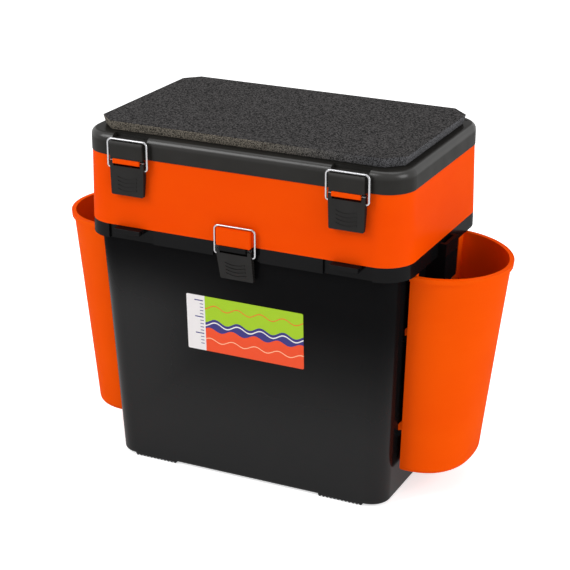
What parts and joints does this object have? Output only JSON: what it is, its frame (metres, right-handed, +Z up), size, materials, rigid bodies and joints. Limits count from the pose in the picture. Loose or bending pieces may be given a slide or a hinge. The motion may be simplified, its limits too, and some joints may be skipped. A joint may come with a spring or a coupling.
{
  "type": "fishing seat box",
  "caption": "Tall plastic tackle box with a tackle section under a padded seat lid, wire draw latches, rear hinges, strap lugs and hang-on side pockets.",
  "frame": {"origin": "middle of the box on the ground, under the serrated feet", "axes": "+X to the right along the front, +Y to the rear hinges, +Z up"},
  "size_m": [0.4782, 0.2317, 0.3597],
  "materials": {
    "black_plastic": "satin black moulded plastic",
    "orange_plastic": "satin orange moulded plastic",
    "lid_plastic": "dark grey moulded plastic",
    "foam": "closed-cell foam",
    "latch_plastic": "black moulded plastic",
    "wire_steel": "bright drawn wire",
    "pin_steel": "plain steel rod",
    "printed_label": "printed film"
  },
  "bodies": {
    "bin": {"bin_shell": "black_plastic", "label_sticker": "printed_label", "latch_pin_centre": "pin_steel", "section_hinge_pin_left": "pin_steel", "section_hinge_pin_right": "pin_steel"},
    "upper_box": {"upper_section": "orange_plastic", "latch_pin_left": "pin_steel", "latch_pin_right": "pin_steel", "lid_hinge_pin_left": "pin_steel", "lid_hinge_pin_right": "pin_steel"},
    "lid": {"lid_shell": "lid_plastic", "seat_pad": "foam"},
    "lever_left": {"latch_lever_left": "latch_plastic"},
    "lever_right": {"latch_lever_right": "latch_plastic"},
    "lever_centre": {"latch_lever_centre": "latch_plastic"},
    "wire_left": {"bail_left": "wire_steel"},
    "wire_right": {"bail_right": "wire_steel"},
    "wire_centre": {"bail_centre": "wire_steel"},
    "pocket_left": {"pocket_left": "orange_plastic"},
    "pocket_right": {"pocket_right": "orange_plastic"}
  },
  "joints": [
    {"name": "section_hinge", "type": "hinge", "parent": "bin", "child": "upper_box", "pos_m": [0, 0.1115, 0.2585], "axis": [-1, 0, 0], "range_deg": [0, 95]},
    {"name": "lid_hinge", "type": "hinge", "parent": "upper_box", "child": "lid", "pos_m": [0, 0.10935, 0.3289], "axis": [-1, 0, 0], "range_deg": [0, 105]},
    {"name": "lever_left_pivot", "type": "hinge", "parent": "upper_box", "child": "lever_left", "pos_m": [-0.1155, -0.10866, 0.3262], "axis": [-1, 0, 0], "range_deg": [0, 92]},
    {"name": "lever_right_pivot", "type": "hinge", "parent": "upper_box", "child": "lever_right", "pos_m": [0.1155, -0.10866, 0.3262], "axis": [-1, 0, 0], "range_deg": [0, 92]},
    {"name": "lever_centre_pivot", "type": "hinge", "parent": "bin", "child": "lever_centre", "pos_m": [0, -0.1113, 0.2558], "axis": [-1, 0, 0], "range_deg": [0, 105]},
    {"name": "bail_left_pivot", "type": "hinge", "parent": "lever_left", "child": "wire_left", "pos_m": [-0.1155, -0.10866, 0.319], "axis": [1, 0, 0], "range_deg": [0, 102]},
    {"name": "bail_right_pivot", "type": "hinge", "parent": "lever_right", "child": "wire_right", "pos_m": [0.1155, -0.10866, 0.319], "axis": [1, 0, 0], "range_deg": [0, 102]},
    {"name": "bail_centre_pivot", "type": "hinge", "parent": "lever_centre", "child": "wire_centre", "pos_m": [0, -0.10968, 0.24879], "axis": [1, 0, 0], "range_deg": [0, 116]},
    {"name": "pocket_left_lift", "type": "slide", "parent": "bin", "child": "pocket_left", "axis": [-0.9613, 0, 0.2756], "range_m": [0, 0.08]},
    {"name": "pocket_right_lift", "type": "slide", "parent": "bin", "child": "pocket_right", "axis": [0.9613, 0, 0.2756], "range_m": [0, 0.08]}
  ],
  "couplings": [
    {"joint": "bail_left_pivot", "follows": "lever_left_pivot", "ratio": 1.1},
    {"joint": "bail_right_pivot", "follows": "lever_right_pivot", "ratio": 1.1},
    {"joint": "bail_centre_pivot", "follows": "lever_centre_pivot", "ratio": 1.1}
  ]
}
